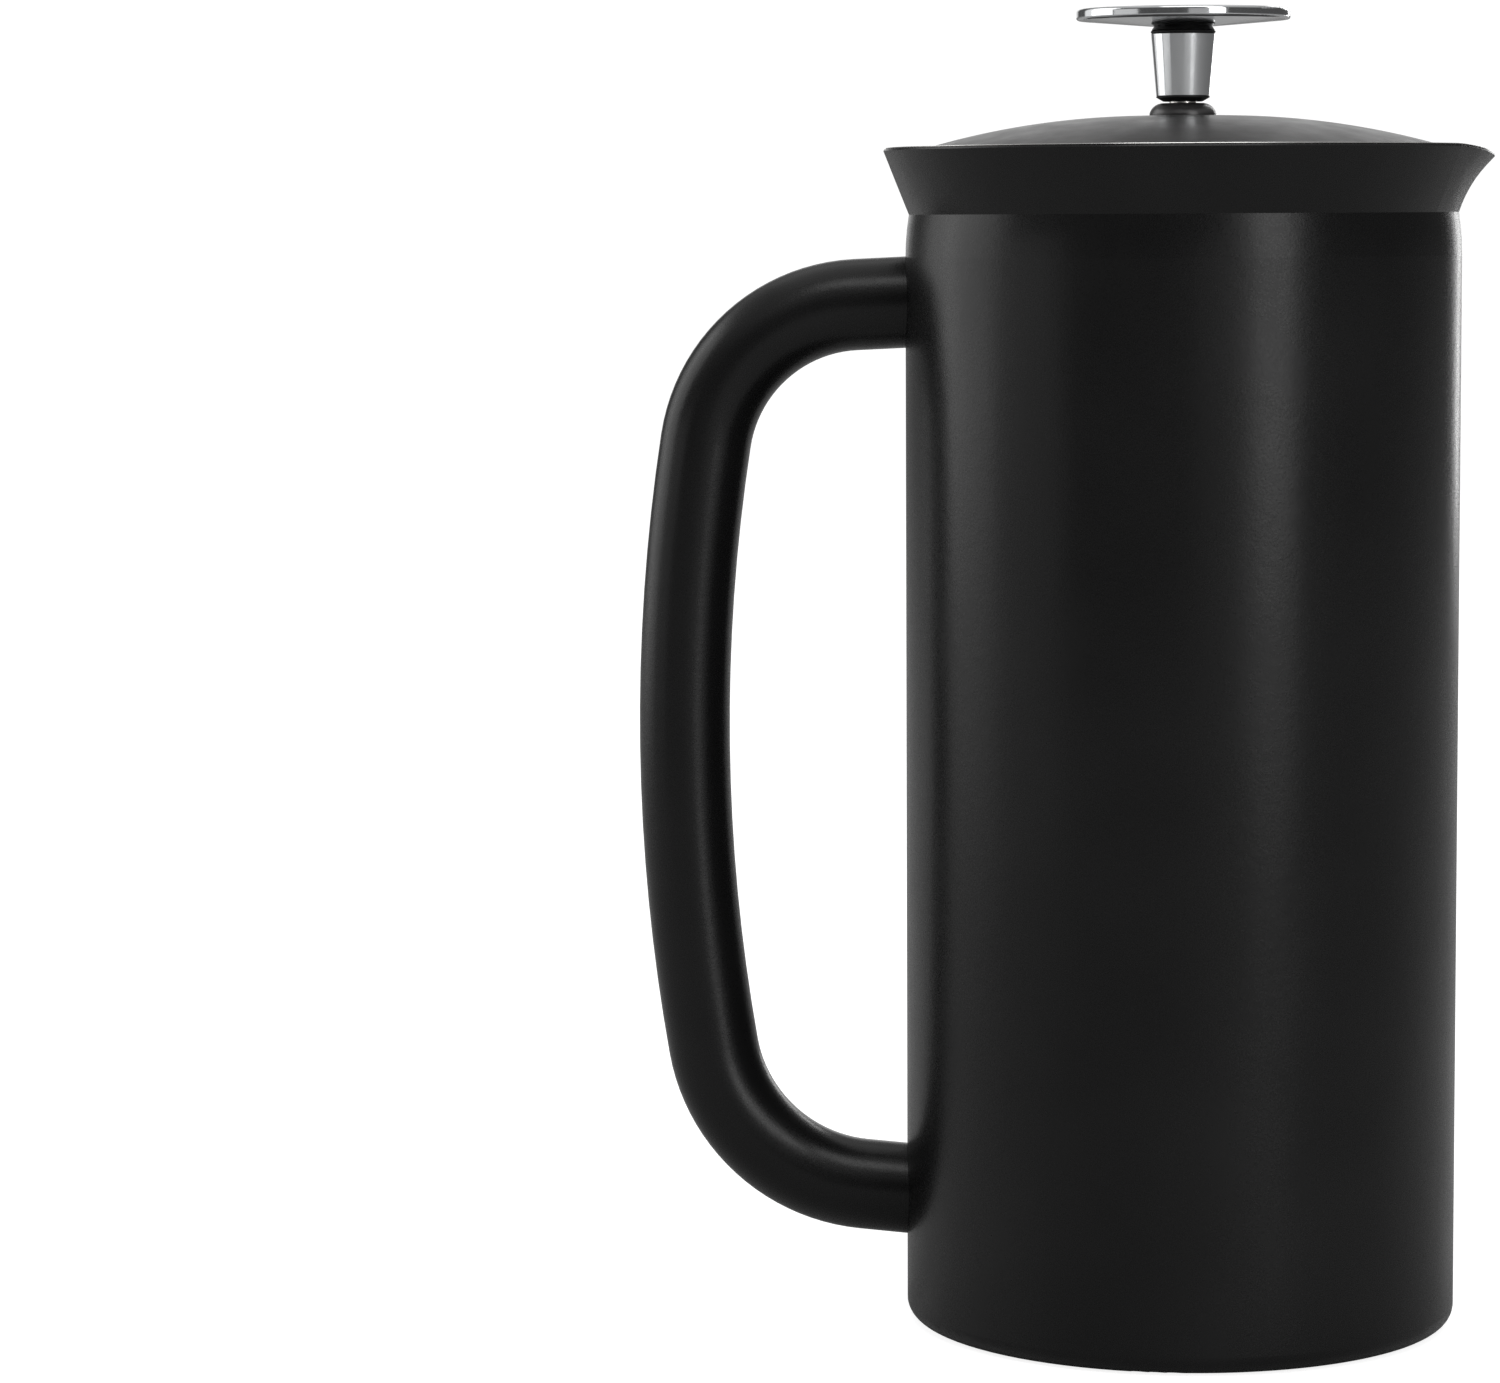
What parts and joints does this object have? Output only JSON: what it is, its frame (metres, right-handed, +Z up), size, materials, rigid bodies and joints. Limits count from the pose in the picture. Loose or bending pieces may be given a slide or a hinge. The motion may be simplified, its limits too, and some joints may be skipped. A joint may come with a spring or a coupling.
{
  "type": "french press",
  "caption": "Insulated steel french press: double-walled flared carafe with a bent tube handle, press-fit lid, knobbed plunger and nested twist-off filter baskets.",
  "frame": {"origin": "centre of the carafe's flat underside, on the axis of the carafe", "axes": "+Z up along the plunger's axis, +X towards the spout, the handle at -X, +Y across the handle"},
  "size_m": [0.1626, 0.1134, 0.2506],
  "materials": {
    "shell_paint": "matte black powder coat",
    "liner_steel": "brushed stainless steel",
    "base_steel": "satin stainless steel",
    "handle_paint": "matte black powder coat",
    "lid_plastic": "satin black plastic",
    "skirt_plastic": "satin dark grey plastic",
    "baffle_plastic": "polished black plastic",
    "lid_silicone": "matte black silicone",
    "wiper_silicone": "translucent silicone",
    "filter_plastic": "matte black plastic",
    "filter_mesh": "fine woven mesh, partly see-through",
    "rod_steel": "drawn stainless steel rod",
    "knob_chrome": "polished chrome",
    "collar_plastic": "polished black plastic",
    "bumper_rubber": "matte black rubber"
  },
  "bodies": {
    "carafe": {"outer_shell": "shell_paint", "inner_liner": "liner_steel", "base_plate": "base_steel", "vessel_bottom": "liner_steel", "vacuum_plug": "base_steel", "getter_cup": "base_steel", "handle": "handle_paint", "upper_handle_mount": "handle_paint", "lower_handle_mount": "handle_paint"},
    "seal": {"lid_seal": "lid_silicone"},
    "lid": {"lid_cap": "lid_plastic", "lid_skirt": "skirt_plastic", "left_baffle": "baffle_plastic", "right_baffle": "baffle_plastic", "rod_guide": "lid_plastic", "guide_nut": "filter_plastic"},
    "plunger": {"plunger_rod": "rod_steel", "knob_bumper": "bumper_rubber", "knob_stem": "knob_chrome", "knob_washer": "bumper_rubber", "knob_collar": "collar_plastic", "knob_disc": "knob_chrome", "inner_filter_frame": "filter_plastic", "inner_filter_mesh": "filter_mesh", "inner_filter_floor_mesh": "filter_mesh", "filter_seal": "wiper_silicone"},
    "outer_filter": {"outer_filter_frame": "filter_plastic", "outer_filter_mesh": "filter_mesh", "outer_filter_floor_mesh": "filter_mesh"}
  },
  "joints": [
    {"name": "lid_lift", "type": "slide", "parent": "carafe", "child": "seal", "axis": [0, 0, 1], "range_m": [0, 0.23]},
    {"name": "lid_turn", "type": "hinge", "parent": "seal", "child": "lid", "pos_m": [0, 0, 0.22], "axis": [0, 0, 1], "continuous": true},
    {"name": "plunger_slide", "type": "slide", "parent": "lid", "child": "plunger", "axis": [0, 0, 1], "range_m": [0, 0.116]},
    {"name": "filter_twist", "type": "hinge", "parent": "plunger", "child": "outer_filter", "pos_m": [0, 0, 0.05], "axis": [0, 0, 1], "range_deg": [0, 18]}
  ]
}
